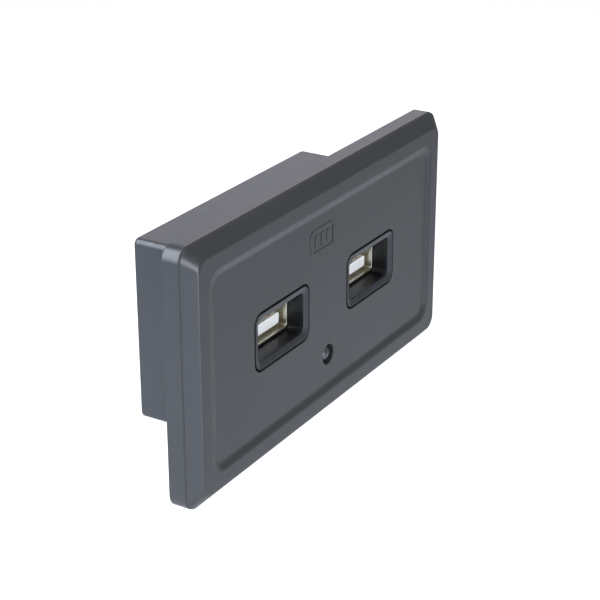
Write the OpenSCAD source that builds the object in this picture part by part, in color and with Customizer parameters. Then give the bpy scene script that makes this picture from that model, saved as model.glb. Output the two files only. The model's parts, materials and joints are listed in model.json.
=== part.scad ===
// Flush-mounted dual USB charging socket for a vehicle dashboard.
// The origin is the centre of the fascia's rear rim face, which seats on the dashboard.
// +X runs to the right along the fascia, +Y goes into the dashboard, +Z is up.

/* [Fascia] */
// Width of the fascia plate
plate_w = 76.1; // [75:0.1:84]
// Height of the fascia plate
plate_h = 41.1; // [40:0.1:46]
// Corner radius of the fascia outline
plate_r = 2.4; // [2.3:0.1:5]
// Depth of the straight side band
side_depth = 3.1; // [2.6:0.05:4]
// Width of the bevel between side band and front
bevel = 2; // [1:0.1:2.2]
// Depth of the bevel between side band and front
bevel_depth = 1.85; // [1:0.05:2.4]
// Width of the flat border round the sunk panel
border_w = 2.65; // [2:0.05:4]
// Width of the soft slope that leads down to the sunk panel
slope_w = 1; // [0.4:0.1:1.4]
// Depth of the sunk panel below the border
panel_drop = 0.5; // [0.4:0.1:1.2]
// Corner radius of the sunk panel at the border
panel_r = 3; // [2:0.1:5]
// Thickness of the sunk panel
panel_t = 2.65; // [1.8:0.05:2.8]
// Thickness of the rim that seats on the dashboard
rim_wall = 2.2; // [1.6:0.1:2.6]
// Width of the fine groove behind the bevel
groove_w = 0.25; // [0.2:0.05:0.5]
// Depth of the fine groove behind the bevel
groove_d = 0.15; // [0.1:0.05:0.5]

/* [Ports] */
// Distance between the centres of the two ports
port_pitch = 27.2; // [26.4:0.1:28]
// Height of the port centres above the fascia centre
port_z = 0.1; // [-0.6:0.05:0.4]
// Width of the port cut-out in the panel
port_w = 15.8; // [15.4:0.1:16.4]
// Height of the port cut-out in the panel
port_h = 9.65; // [9.2:0.05:10]
// Corner radius of the port cut-out
port_r = 1.9; // [1.5:0.1:2.4]
// Gap between the cut-out and the port liner
port_gap = 0.35; // [0.2:0.05:0.5]
// Width of the dished ring on the liner's front
ring_w = 1.06; // [0.8:0.02:1.2]
// Depth that the dished ring falls towards the throat
ring_drop = 0.3; // [0.1:0.05:0.5]
// Distance from the throat's front edge to the receptacle mouth
mouth_setback = 2.95; // [2:0.05:3.5]
// Lap of the liner flange behind the panel
liner_lap = 1.2; // [0.8:0.1:1.6]
// Thickness of the liner flange
liner_flange_t = 1.2; // [0.8:0.1:1.4]
// Wall of the liner sleeve round the receptacle
sleeve_wall = 1.2; // [0.8:0.1:1.3]
// Length of the liner sleeve behind the panel
sleeve_len = 3.8; // [3:0.1:4]
// Clearance between a receptacle shell and its liner
shell_fit = 0.15; // [0.1:0.05:0.2]

/* [Receptacles] */
// Inner width of the receptacle shell
shell_in_w = 12.5; // [12.3:0.05:12.6]
// Inner height of the receptacle shell
shell_in_h = 5.12; // [5:0.02:5.3]
// Thickness of the shell's sheet metal
shell_t = 0.3; // [0.2:0.05:0.35]
// Length of the receptacle shell
shell_len = 12.4; // [11.8:0.1:12.6]
// Height of the receptacle centre above the port centre
shell_dz = -0.35; // [-0.4:0.05:-0.2]
// Width of the contact tongue
tongue_w = 11.1; // [10.8:0.1:11.3]
// Thickness of the contact tongue
tongue_h = 1.84; // [1.7:0.02:1.9]
// Gap between the tongue and the shell's floor
tongue_gap = 0.64; // [0.5:0.02:0.8]
// Distance from the mouth to the front of the tongue
tongue_setback = 1; // [0.8:0.1:1.4]
// Distance from the mouth to the moulded rear block
block_setback = 9.4; // [9:0.1:9.8]
// Width of a contact strip
contact_w = 1; // [0.8:0.1:1.2]
// Thickness of a contact strip
contact_t = 0.2; // [0.15:0.05:0.3]
// Spacing of the two inner contacts
contact_inner = 2; // [1.9:0.1:2.1]
// Spacing of the two outer contacts
contact_outer = 7; // [6.8:0.1:7.2]

/* [Indicator] */
// Diameter of the indicator hole
lamp_hole_d = 3.4; // [3.3:0.1:3.8]
// Diameter of the indicator lamp
lamp_d = 3; // [2.8:0.1:3.1]
// Height of the indicator above the fascia centre
lamp_z = -9.85; // [-10.6:0.05:-9.7]
// Distance of the lamp's tip behind the panel front
lamp_sink = 0.1; // [0:0.1:0.6]
// Length of the lamp from tip to base
lamp_len = 5.3; // [4.8:0.1:5.6]

/* [Rear housing] */
// Distance of the upper box from the fascia's left edge
box_left = 3.6; // [3.4:0.1:4]
// Distance of the upper box from the fascia's top edge
box_top = 1.4; // [1.35:0.05:2]
// Distance of the upper box's right side from the fascia centre
box_right = 11.45; // [10.5:0.05:12]
// Room between the port liners and the housing's bottom wall
box_room = 1.4; // [1:0.1:1.6]
// Depth of the upper box behind the rim face
box_depth = 7.2; // [7:0.1:8]
// Distance of the deep core's left side from the left receptacle
core_side = 2.4; // [2.3:0.1:2.6]
// Distance of the deep core's right side from the right receptacle
core_bay = 9.6; // [9.5:0.1:10]
// Height of the deep core above the port board
core_head = 3.6; // [3.5:0.1:3.9]
// Depth of the deep core behind the rim face
core_depth = 14.4; // [14.2:0.1:15]
// Wall thickness of the rear housing
wall = 1.6; // [1.2:0.1:1.6]
// Radius of the housing's long edges
housing_r = 0.9; // [0.5:0.1:1.4]
// Clearance between the housing and the fascia's rim
housing_fit = 0.1; // [0.05:0.05:0.2]
// Chamfer along the housing's rear edges
rear_chamfer = 0.5; // [0.2:0.1:0.8]
// Half width of the lamp bay below the core
bay_half_w = 4.6; // [4:0.1:5]
// Distance from the lamp centre to the bay's underside
bay_drop = 3.8; // [3.6:0.1:4]

/* [Screws] */
// Diameter of a housing screw's shank
screw_d = 2.1; // [1.8:0.1:2.1]
// Clearance between a screw and its pilot bore, across the diameter
screw_fit = 0.1; // [0.05:0.05:0.2]
// Diameter of a housing screw's head
screw_head_d = 4.4; // [4:0.1:4.6]
// Height of a housing screw's head
screw_head_h = 1.6; // [1.2:0.1:1.8]
// Length of a housing screw's shank
screw_len = 7; // [5:0.5:7]
// Outer diameter of the fascia's screw bosses
boss_d = 5; // [4.4:0.1:5.4]
// Height of the fascia's screw bosses above the rim face
boss_top = 4; // [3:0.1:4.4]
// Distance between the two fixing bosses
fixing_pitch = 49; // [44:0.5:56]
// Height of the fixing bosses above the fascia centre
fixing_z = -14.4; // [-14.6:0.1:-14]
// Bore of the fixing bosses
fixing_bore_d = 2.5; // [2.2:0.1:3]
// Outer diameter of the fixing bosses
fixing_boss_d = 6.4; // [5.6:0.1:6.8]
// Height of the fixing bosses above the rim face
fixing_boss_top = 5; // [4:0.5:6]

/* [Circuit boards] */
// Thickness of the circuit boards
board_t = 1.6; // [1:0.2:1.6]
// Height of the power board
power_board_h = 12.1; // [11.5:0.1:12.2]
// Gap between the power board and the housing's rear wall
board_pad = 0.4; // [0.3:0.1:0.6]
// Side of a square header pin
pin_side = 0.64; // [0.5:0.02:0.64]
// Width of the inlet connector
inlet_w = 11.5; // [11:0.1:12]
// Height of the inlet connector
inlet_h = 8; // [7:0.1:8]
// Distance the inlet connector stands out behind the core
inlet_out = 7; // [6:0.1:8]
// Wall of the inlet connector's shroud
inlet_wall = 1; // [0.8:0.1:1.2]
// Spacing of the inlet pins
inlet_pitch = 2.5; // [2.4:0.1:2.54]

/* [Hidden] */
$fn = 48;
eps = 0.01;

// Planes of the fascia, from front to back
border_y = -side_depth - bevel_depth;
panel_y = border_y + panel_drop;
cavity_y = panel_y + panel_t;

// Port liner and receptacle
port_x = port_pitch / 2;
liner_w = port_w - 2 * port_gap;
liner_h = port_h - 2 * port_gap;
liner_r = port_r - port_gap;
ring_land = 0.15;
throat_w = liner_w - 2 * ring_w;
throat_h = liner_h - 2 * ring_w;
throat_r = 0.9;
throat_y = panel_y + ring_drop;
shell_y = throat_y + mouth_setback;
shell_w = shell_in_w + 2 * shell_t;
shell_h = shell_in_h + 2 * shell_t;
shell_in_r = 0.5;
shell_r = shell_in_r + shell_t;
shell_end_y = shell_y + shell_len;
shell_z = port_z + shell_dz;
seat_play = 0.1;
tongue_y = shell_y + tongue_setback;
tongue_z = -shell_in_h / 2 + tongue_gap + tongue_h / 2;
tongue_r = 0.4;
block_y = shell_y + block_setback;
block_fit = 0.05;
contact_x = [-contact_outer / 2, -contact_inner / 2, contact_inner / 2, contact_outer / 2];
contact_z = tongue_z + tongue_h / 2;
contact_start = 0.5;
slot_fit = 0.05;
tail_w = 0.6;
tail_t = 0.3;
tail_y = shell_end_y + 0.1;
leg_w = 1.2;
leg_y = [shell_y + 4.5, shell_y + 10.2];
leaf_y = shell_y + 1.6;
leaf_len = 4.2;
leaf_w = 1.6;
leaf_slit = 0.25;
leaf_x = 3.1;

// Rear housing, measured from the fascia centre
board_z = shell_z + shell_h / 2;
board_top_z = board_z + board_t;
box_x = [-plate_w / 2 + box_left, box_right];
box_z = [port_z - port_h / 2 - liner_lap - box_room - wall, plate_h / 2 - box_top];
core_x = [-port_x - shell_w / 2 - core_side, port_x + shell_w / 2 + core_bay];
core_z = [box_z[0], board_top_z + core_head];
bay_x = [-bay_half_w, bay_half_w];
bay_z = [lamp_z - bay_drop, box_z[0] + wall + housing_r];
bay_wall = 1.2;
boss_gap = 0.1;
screw_inset = wall + boss_d / 2 + boss_gap;

// Housing screws stand in four bosses of the fascia
screw_seat_y = boss_top + 1.4;
column_wall = 1;
head_fit = 0.3;
head_bore_d = screw_head_d + 2 * head_fit;
column_d = head_bore_d + 2 * column_wall;
screw_hole_d = screw_d + 0.6;
screw_places = [[box_x[0] + screw_inset, box_z[1] - screw_inset],
                [box_x[1] - screw_inset, box_z[1] - screw_inset],
                [box_x[0] + screw_inset, box_z[0] + screw_inset],
                [core_x[1] - screw_inset, -1]];
pilot_y = screw_seat_y - screw_len - 0.4;

// Port board lies on the receptacles, power board stands behind the upper panel
board_gap = 0.2;
port_board_x = [core_x[0] + wall + board_gap, core_x[1] - screw_inset - column_d / 2 - board_gap];
port_board_y = [cavity_y + sleeve_len + board_gap, core_depth - wall - board_gap];
power_board_x = [screw_places[0][0] + column_d / 2 + board_gap, screw_places[1][0] - column_d / 2 - board_gap];
power_board_z = [box_z[1] - wall - board_gap - power_board_h, box_z[1] - wall - board_gap];
power_board_y = [box_depth - wall - board_pad - board_t, box_depth - wall - board_pad];
rail = 0.6;
rail_h = 1;
pad_side = 2;
hole_fit = 0.36;

// Header pins between the boards
link_pitch = 2.5;
link_x = [for (i = [-3 : 0]) power_board_x[1] - 1.1 + i * link_pitch];
link_y = port_board_y[0] + 0.5;
link_z = power_board_z[0] + 1.3;
pin_tail = 0.5;

// Inlet connector under the middle of the port board
inlet_z = [board_z - inlet_h, board_z];
inlet_y = [block_y - 1, core_depth + inlet_out];
inlet_floor_y = core_depth - 0.5;
inlet_r = 0.4;
inlet_fit = 0.15;
inlet_pin_x = [-1.5 * inlet_pitch, -0.5 * inlet_pitch, 0.5 * inlet_pitch, 1.5 * inlet_pitch];
inlet_pin_z = board_z - inlet_h / 2;
inlet_pin_y = [inlet_y[0] - 1.4, inlet_y[1] - 1.4];
inlet_slot_fit = 0.04;
latch_w = 3.2;
latch_h = 0.8;
latch_len = 2.4;

// Indicator lamp
lamp_tip_y = panel_y + lamp_sink;
lamp_base_y = lamp_tip_y + lamp_len;
lamp_flange_t = 1;
lamp_flange_d = lamp_d + 0.8;
lead_side = 0.5;
lead_pitch = 2.54;
lead_y = box_depth - wall - board_pad - lead_side;
lead_top_z = board_top_z + 0.6;

// Parts on the boards
choke_side = 7;
choke_h = 3.2;
choke_rim_t = 0.6;
choke_x = power_board_x[0] + 5.6;
cap_d = 6.3;
cap_len = 4.5;
cap_base_h = 0.6;
cap_bead = 0.25;
cap_x = choke_x + 9.4;
upper_z = (power_board_z[0] + power_board_z[1]) / 2;
chip_w = 4.9;
chip_l = 3.9;
chip_h = 1.5;
chip_x = power_board_x[1] - 4.4;
chip_z = upper_z + 2.6;
chip_pitch = 1.27;
chip_lead_w = 0.4;
chip_lead_t = 0.25;
chip_lead_out = 1;
diode_w = 4.3;
diode_l = 2.6;
diode_h = 2.1;
diode_z = upper_z - 2.7;
charge_side = 3;
charge_h = 1;
charge_y = port_board_y[0] + 5.4;
fuse_w = 4.5;
fuse_l = 3.2;
fuse_h = 0.9;
fuse_y = port_board_y[0] + 8;
chip_cap = [2, 1.25, 1];
chip_res = [1.6, 0.8, 0.45];
end_cap = 0.3;

// Draws a rectangle with round corners, centred
module rounded_rect(w, h, r) {
    square([w - 2 * r, h], center = true);
    square([w, h - 2 * r], center = true);
    for (x = [-w / 2 + r, w / 2 - r], y = [-h / 2 + r, h / 2 - r])
        translate([x, y]) circle(r);
}

// Extrudes an outline in X and Z from depth y0 to depth y1
module along_y(y0, y1) {
    translate([0, y1, 0]) rotate([90, 0, 0]) linear_extrude(y1 - y0) children();
}

// Fills a box that is given by its limits in X, Y and Z
module span(x, y, z) {
    translate([x[0], y[0], z[0]]) cube([x[1] - x[0], y[1] - y[0], z[1] - z[0]]);
}

// Extrudes a round-cornered rectangle that is given by its limits in X and Z
module rounded_span(x, y, z, r) {
    translate([(x[0] + x[1]) / 2, 0, (z[0] + z[1]) / 2])
        along_y(y[0], y[1]) rounded_rect(x[1] - x[0], z[1] - z[0], r);
}

// Blends from a w by h section at y0 to one that is larger by grow on each side at y1
module flared(w, h, r, grow, y0, y1) {
    x0 = w / 2;
    z0 = h / 2;
    translate([-x0 + r, 0, 0]) rotate([90, 0, 90]) linear_extrude(w - 2 * r)
        polygon([[y0, -z0], [y1, -z0 - grow], [y1, z0 + grow], [y0, z0]]);
    translate([0, 0, -z0 + r]) linear_extrude(h - 2 * r)
        polygon([[-x0, y0], [x0, y0], [x0 + grow, y1], [-x0 - grow, y1]]);
    for (x = [-x0 + r, x0 - r], z = [-z0 + r, z0 - r])
        translate([x, y0, z]) rotate([-90, 0, 0]) cylinder(h = y1 - y0, r1 = r, r2 = r + grow);
}

// Drills a round hole of diameter d from depth y0 to depth y1
module drill(x, z, d, y0, y1) {
    translate([x, y0, z]) rotate([-90, 0, 0]) cylinder(h = y1 - y0, d = d);
}

// Drills a round hole of diameter d from height z0 to height z1
module drill_up(x, y, d, z0, z1) {
    translate([x, y, z0]) cylinder(h = z1 - z0, d = d);
}

// Fascia
module fascia_plate() {
    along_y(-side_depth, 0) rounded_rect(plate_w, plate_h, plate_r);
    flared(plate_w - 2 * bevel, plate_h - 2 * bevel, plate_r - bevel, bevel, border_y, -side_depth);
}

module sunk_panel_cut() {
    w = plate_w - 2 * bevel - 2 * border_w;
    h = plate_h - 2 * bevel - 2 * border_w;
    flared(w, h, panel_r, -slope_w, border_y, panel_y);
    along_y(border_y - 1, border_y + eps) rounded_rect(w, h, panel_r);
}

module groove_cut() {
    along_y(-side_depth, -side_depth + groove_w) difference() {
        rounded_rect(plate_w + 2, plate_h + 2, plate_r + 1);
        rounded_rect(plate_w - 2 * groove_d, plate_h - 2 * groove_d, plate_r - groove_d);
    }
}

// Notch in the rim where the upper box passes through
module housing_notch() {
    rounded_span([box_x[0] - housing_fit, box_x[1] + housing_fit], [cavity_y, 1],
                 [box_z[0] - housing_fit, box_z[1] + housing_fit], housing_r + housing_fit);
}

module fixing_bosses() {
    for (x = [-fixing_pitch / 2, fixing_pitch / 2]) difference() {
        drill(x, fixing_z, fixing_boss_d, cavity_y - eps, fixing_boss_top);
        drill(x, fixing_z, fixing_bore_d, pilot_y, fixing_boss_top + 1);
    }
}

module screw_bosses() {
    for (p = screw_places) drill(p[0], p[1], boss_d, cavity_y - eps, boss_top);
}

module front_bezel() {
    color("#55575c") difference() {
        union() {
            difference() {
                fascia_plate();
                sunk_panel_cut();
                groove_cut();
                along_y(cavity_y, 1)
                    rounded_rect(plate_w - 2 * rim_wall, plate_h - 2 * rim_wall, plate_r - rim_wall);
                housing_notch();
            }
            fixing_bosses();
            screw_bosses();
        }
        for (x = [-port_x, port_x]) translate([x, 0, port_z])
            along_y(border_y, cavity_y + 1) rounded_rect(port_w, port_h, port_r);
        drill(0, lamp_z, lamp_hole_d, border_y, cavity_y + 1);
        for (p = screw_places) drill(p[0], p[1], screw_d + screw_fit, pilot_y, boss_top + 1);
    }
}

// Port liner, drawn about the port centre
module port_liner() {
    color("#3c3e42") difference() {
        union() {
            along_y(panel_y, cavity_y + eps) rounded_rect(liner_w, liner_h, liner_r);
            along_y(cavity_y, cavity_y + liner_flange_t)
                rounded_rect(port_w + 2 * liner_lap, port_h + 2 * liner_lap, port_r + liner_lap);
            translate([0, 0, shell_dz]) along_y(cavity_y, cavity_y + sleeve_len)
                rounded_rect(shell_w + 2 * shell_fit + 2 * sleeve_wall,
                             shell_h + 2 * shell_fit + 2 * sleeve_wall, shell_r + sleeve_wall);
        }
        flared(liner_w - 2 * ring_land, liner_h - 2 * ring_land, liner_r - ring_land,
               ring_land - ring_w, panel_y, throat_y);
        along_y(panel_y - 1, panel_y + eps)
            rounded_rect(liner_w - 2 * ring_land, liner_h - 2 * ring_land, liner_r - ring_land);
        along_y(throat_y - eps, shell_y) rounded_rect(throat_w, throat_h, throat_r);
        translate([0, 0, shell_dz]) along_y(shell_y - seat_play, cavity_y + sleeve_len + 1)
            rounded_rect(shell_w + 2 * shell_fit, shell_h + 2 * shell_fit, shell_r + shell_fit);
    }
}

module left_port_liner() { translate([-port_x, 0, port_z]) port_liner(); }
module right_port_liner() { translate([port_x, 0, port_z]) port_liner(); }

// U-shaped slit that frees a spring leaf in the shell
module leaf_slit_outline() {
    difference() {
        square([leaf_w + 2 * leaf_slit, leaf_len], center = true);
        translate([0, -leaf_slit]) square([leaf_w, leaf_len], center = true);
    }
}

module shell_slits() {
    for (x = [-leaf_x, leaf_x]) translate([x, leaf_y + leaf_len / 2, -shell_h])
        linear_extrude(2 * shell_h) leaf_slit_outline();
    translate([-shell_w, leaf_y + leaf_len / 2, 0]) rotate([0, 90, 0])
        linear_extrude(2 * shell_w) leaf_slit_outline();
}

// Receptacle shell, drawn about the receptacle axis
module port_shell() {
    color("#b3ab97") {
        difference() {
            along_y(shell_y, shell_end_y) difference() {
                rounded_rect(shell_w, shell_h, shell_r);
                rounded_rect(shell_in_w, shell_in_h, shell_in_r);
            }
            shell_slits();
        }
        for (x = [-shell_w / 2 + shell_r, shell_w / 2 - shell_r - shell_t], y = leg_y)
            span([x, x + shell_t], [y, y + leg_w], [shell_h / 2 - eps, shell_h / 2 + board_t + 0.8]);
    }
}

module left_port_shell() { translate([-port_x, 0, shell_z]) port_shell(); }
module right_port_shell() { translate([port_x, 0, shell_z]) port_shell(); }

module port_insulator() {
    color("#eceef2") difference() {
        union() {
            translate([0, 0, tongue_z]) along_y(tongue_y, block_y + eps)
                rounded_rect(tongue_w, tongue_h, tongue_r);
            along_y(block_y, shell_end_y - 0.2)
                rounded_rect(shell_in_w - 2 * block_fit, shell_in_h - 2 * block_fit, shell_in_r);
        }
        for (x = contact_x)
            span([x - contact_w / 2 - slot_fit, x + contact_w / 2 + slot_fit], [block_y - 1, shell_end_y + 1],
                 [contact_z, contact_z + contact_t + slot_fit]);
    }
}

module left_port_insulator() { translate([-port_x, 0, shell_z]) port_insulator(); }
module right_port_insulator() { translate([port_x, 0, shell_z]) port_insulator(); }

module port_contacts() {
    tail_top = board_top_z - shell_z + 0.6;
    color("#c8a24a") for (x = contact_x) {
        span([x - contact_w / 2, x + contact_w / 2], [tongue_y + contact_start, tail_y + tail_t],
             [contact_z, contact_z + contact_t]);
        span([x - tail_w / 2, x + tail_w / 2], [tail_y, tail_y + tail_t], [contact_z, tail_top]);
    }
}

module left_port_contacts() { translate([-port_x, 0, shell_z]) port_contacts(); }
module right_port_contacts() { translate([port_x, 0, shell_z]) port_contacts(); }

// Circuit boards
module port_board() {
    z = [board_z - 1, board_top_z + 1];
    color("#1f5c3a") difference() {
        span(port_board_x, port_board_y, [board_z, board_top_z]);
        for (side = [-port_x, port_x]) {
            for (x = contact_x) drill_up(side + x, tail_y + tail_t / 2, tail_w + hole_fit, z[0], z[1]);
            for (x = [-shell_w / 2 + shell_r, shell_w / 2 - shell_r - shell_t], y = leg_y)
                span([side + x - 0.1, side + x + shell_t + 0.1], [y - 0.1, y + leg_w + 0.1], z);
        }
        for (x = link_x) drill_up(x, link_y + pin_side / 2, pin_side + hole_fit, z[0], z[1]);
        for (x = inlet_pin_x) drill_up(x, inlet_pin_y[0] + pin_side / 2, pin_side + hole_fit, z[0], z[1]);
        for (x = [-lead_pitch / 2, lead_pitch / 2])
            drill_up(x, lead_y + lead_side / 2, lead_side + hole_fit, z[0], z[1]);
    }
}

module power_board() {
    color("#1f5c3a") difference() {
        span(power_board_x, power_board_y, power_board_z);
        for (x = link_x)
            drill(x, link_z + pin_side / 2, pin_side + hole_fit, power_board_y[0] - 1, power_board_y[1] + 1);
    }
}

module board_link_pins() {
    half = pin_side / 2;
    color("#c9b26a") for (x = link_x) {
        span([x - half, x + half], [link_y, link_y + pin_side], [board_z - pin_tail, link_z + pin_side]);
        span([x - half, x + half], [link_y, power_board_y[1] + board_pad / 2], [link_z, link_z + pin_side]);
    }
}

// Inlet
module inlet_connector() {
    zc = (inlet_z[0] + inlet_z[1]) / 2;
    half = pin_side / 2 + inlet_slot_fit;
    color("#e9e4d6") difference() {
        union() {
            rounded_span([-inlet_w / 2, inlet_w / 2], inlet_y, inlet_z, inlet_r);
            translate([-latch_w / 2, inlet_y[1] - latch_len - 1.2, inlet_z[0]])
                rotate([90, 0, 90]) linear_extrude(latch_w)
                    polygon([[0, eps], [0, -latch_h], [0.6, -latch_h], [latch_len, eps]]);
        }
        translate([0, 0, zc]) along_y(inlet_floor_y, inlet_y[1] + 1)
            rounded_rect(inlet_w - 2 * inlet_wall, inlet_h - 2 * inlet_wall, inlet_r);
        for (x = inlet_pin_x)
            span([x - half, x + half], [inlet_y[0] - 1, inlet_floor_y + 1],
                 [inlet_pin_z - half, inlet_pin_z + half]);
        for (x = [-inlet_w / 2 + 0.4, inlet_w / 2 - inlet_wall - eps])
            span([x, x + inlet_wall - 0.4 + eps], [inlet_floor_y, inlet_y[1] + 1], [zc - 0.7, zc + 0.7]);
    }
}

module inlet_pins() {
    half = pin_side / 2;
    color("#c9b26a") for (x = inlet_pin_x) {
        span([x - half, x + half], inlet_pin_y, [inlet_pin_z - half, inlet_pin_z + half]);
        span([x - half, x + half], [inlet_pin_y[0], inlet_pin_y[0] + pin_side],
             [inlet_pin_z - half, board_top_z + pin_tail]);
    }
}

// Indicator
module indicator_lamp() {
    color("#b9bcc2") {
        translate([0, lamp_tip_y + lamp_d / 2, lamp_z]) sphere(d = lamp_d);
        drill(0, lamp_z, lamp_d, lamp_tip_y + lamp_d / 2, lamp_base_y);
        drill(0, lamp_z, lamp_flange_d, lamp_base_y - lamp_flange_t, lamp_base_y);
    }
}

module indicator_leads() {
    half = lead_side / 2;
    color("#b8b8bc") for (x = [-lead_pitch / 2, lead_pitch / 2]) {
        span([x - half, x + half], [lamp_base_y, lead_y + lead_side], [lamp_z - half, lamp_z + half]);
        span([x - half, x + half], [lead_y, lead_y + lead_side], [lamp_z - half, lead_top_z]);
    }
}

// Parts on the power board
module choke() {
    y = [power_board_y[0] - choke_h, power_board_y[0]];
    r = choke_side / 2;
    color("#4a4b4e") difference() {
        translate([choke_x, 0, upper_z]) along_y(y[0], y[1]) rounded_rect(choke_side, choke_side, 1.2);
        drill(choke_x, upper_z, 2 * r - 1.2, y[0] - 1, y[1] - choke_rim_t);
    }
}

module choke_core() {
    y = [power_board_y[0] - choke_h, power_board_y[0] - choke_rim_t];
    color("#35363a") {
        drill(choke_x, upper_z, choke_side - 1.6, y[0], y[0] + 0.6);
        drill(choke_x, upper_z, choke_side - 3, y[0], y[1]);
        drill(choke_x, upper_z, choke_side - 1.6, y[1] - 0.4, y[1]);
    }
}

module reservoir_capacitor() {
    y1 = power_board_y[0] - cap_base_h;
    y0 = y1 - cap_len;
    translate([cap_x, y1, upper_z]) rotate([90, 0, 0]) color("#c3c5c9") rotate_extrude()
        polygon([[0, 0], [cap_d / 2, 0], [cap_d / 2, 0.9], [cap_d / 2 - cap_bead, 1.15],
                 [cap_d / 2, 1.4], [cap_d / 2, y1 - y0 - 0.3], [cap_d / 2 - 0.3, y1 - y0], [0, y1 - y0]]);
}

module capacitor_base() {
    half = cap_d / 2 + 0.15;
    cut = 1.2;
    color("#26272a") translate([cap_x, 0, upper_z])
        along_y(power_board_y[0] - cap_base_h, power_board_y[0])
            polygon([[-half, -half], [half, -half], [half, half - cut], [half - cut, half],
                     [-half + cut, half], [-half, half - cut]]);
}

module converter_chip() {
    y1 = power_board_y[0];
    color("#2a2b2e") {
        span([chip_x - chip_w / 2, chip_x + chip_w / 2], [y1 - chip_h, y1 - 0.1],
             [chip_z - chip_l / 2, chip_z + chip_l / 2]);
        for (i = [-1.5 : 1.5]) span([chip_x + i * chip_pitch - chip_lead_w / 2,
                                     chip_x + i * chip_pitch + chip_lead_w / 2], [y1 - chip_lead_t, y1],
                                    [chip_z - chip_l / 2 - chip_lead_out, chip_z + chip_l / 2 + chip_lead_out]);
    }
}

module rectifier_diode() {
    y1 = power_board_y[0];
    color("#303134") {
        span([chip_x - diode_w / 2, chip_x + diode_w / 2], [y1 - diode_h, y1 - 0.1],
             [diode_z - diode_l / 2, diode_z + diode_l / 2]);
        span([chip_x - diode_w / 2 - 0.5, chip_x + diode_w / 2 + 0.5], [y1 - 0.3, y1],
             [diode_z - 0.7, diode_z + 0.7]);
    }
}

// Parts on the port board
module charge_chips() {
    z0 = board_top_z;
    color("#2a2b2e") for (x = [-port_x, port_x]) {
        span([x - charge_side / 2, x + charge_side / 2], [charge_y - charge_side / 2, charge_y + charge_side / 2],
             [z0 + 0.1, z0 + charge_h]);
        for (i = [-1.5 : 1.5])
            span([x - charge_side / 2 - 0.8, x + charge_side / 2 + 0.8],
                 [charge_y + i * 0.65 - 0.15, charge_y + i * 0.65 + 0.15], [z0, z0 + 0.2]);
    }
}

module input_fuse() {
    color("#3d6b4c") span([-fuse_w / 2, fuse_w / 2], [fuse_y - fuse_l / 2, fuse_y + fuse_l / 2],
                          [board_top_z, board_top_z + fuse_h]);
}

// Chip part with end caps, lying on the port board with its length along X
module chip_on_port_board(x, y, size) {
    span([x - size[0] / 2, x + size[0] / 2], [y - size[1] / 2, y + size[1] / 2],
         [board_top_z, board_top_z + size[2]]);
}

// Chip part standing on the front of the power board with its length along X
module chip_on_power_board(x, z, size) {
    span([x - size[0] / 2, x + size[0] / 2], [power_board_y[0] - size[2], power_board_y[0]],
         [z - size[1] / 2, z + size[1] / 2]);
}

module ceramic_capacitors() {
    color("#b08a5e") {
        for (x = [-port_x, port_x], dx = [-4.4, 4.4]) chip_on_port_board(x + dx, charge_y, chip_cap);
        for (dz = [-3.4, 3.4]) chip_on_power_board(choke_x + choke_side / 2 + 1.3, upper_z + dz, chip_cap);
    }
}

module chip_resistors() {
    color("#1d1e20") {
        for (x = [-port_x, port_x], dx = [-2.6, 0, 2.6])
            chip_on_port_board(x + dx, charge_y - charge_side / 2 - 1.5, chip_res);
        for (dx = [-1.3, 1.3]) chip_on_power_board(chip_x + dx, upper_z - 0.9, chip_res);
    }
}

// Rear housing
module housing_block(x, y1, z) {
    w = x[1] - x[0];
    h = z[1] - z[0];
    rounded_span(x, [cavity_y, y1 - rear_chamfer], z, housing_r);
    translate([(x[0] + x[1]) / 2, 0, (z[0] + z[1]) / 2])
        flared(w, h, housing_r, -rear_chamfer, y1 - rear_chamfer, y1);
}

module housing_outside() {
    housing_block(box_x, box_depth, box_z);
    housing_block(core_x, core_depth, core_z);
    housing_block(bay_x, box_depth, bay_z);
}

module housing_inside() {
    y0 = cavity_y - 1;
    span([box_x[0] + wall, box_x[1] - wall], [y0, box_depth - wall], [box_z[0] + wall, box_z[1] - wall]);
    span([core_x[0] + wall, core_x[1] - wall], [y0, core_depth - wall], [core_z[0] + wall, core_z[1] - wall]);
    span([bay_x[0] + bay_wall, bay_x[1] - bay_wall], [y0, box_depth - bay_wall],
         [bay_z[0] + bay_wall, core_z[0] + wall + 1]);
}

module screw_columns() {
    for (p = screw_places) {
        end_y = p[0] > box_x[1] ? core_depth - wall / 2 : box_depth - wall / 2;
        drill(p[0], p[1], column_d, boss_top, end_y);
    }
}

module screw_column_holes() {
    for (p = screw_places) {
        drill(p[0], p[1], screw_hole_d, boss_top - 1, screw_seat_y + eps);
        drill(p[0], p[1], head_bore_d, screw_seat_y, core_depth + 1);
    }
}

module board_supports() {
    y = [port_board_y[0] + 4, port_board_y[1]];
    rails_x = [[core_x[0] + wall - eps, port_board_x[0] + rail],
               [port_board_x[1] - rail, core_x[1] - screw_inset - column_d / 2 + 1]];
    for (x = rails_x) span(x, [box_depth - wall, core_depth - wall + eps], [board_z - rail_h, board_z]);
    for (x = [power_board_x[0] + 2, power_board_x[1] - 4], z = [power_board_z[0] + 4, power_board_z[1] - 2.4])
        span([x, x + pad_side], [power_board_y[1], box_depth - wall + eps], [z, z + pad_side]);
}

module rear_housing() {
    color("#505259") difference() {
        union() {
            difference() {
                housing_outside();
                housing_inside();
            }
            screw_columns();
            board_supports();
        }
        screw_column_holes();
        span([-inlet_w / 2 - inlet_fit, inlet_w / 2 + inlet_fit], [core_depth - wall - 1, core_depth + 1],
             [inlet_z[0] - inlet_fit, inlet_z[1] + inlet_fit]);
    }
}

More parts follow.
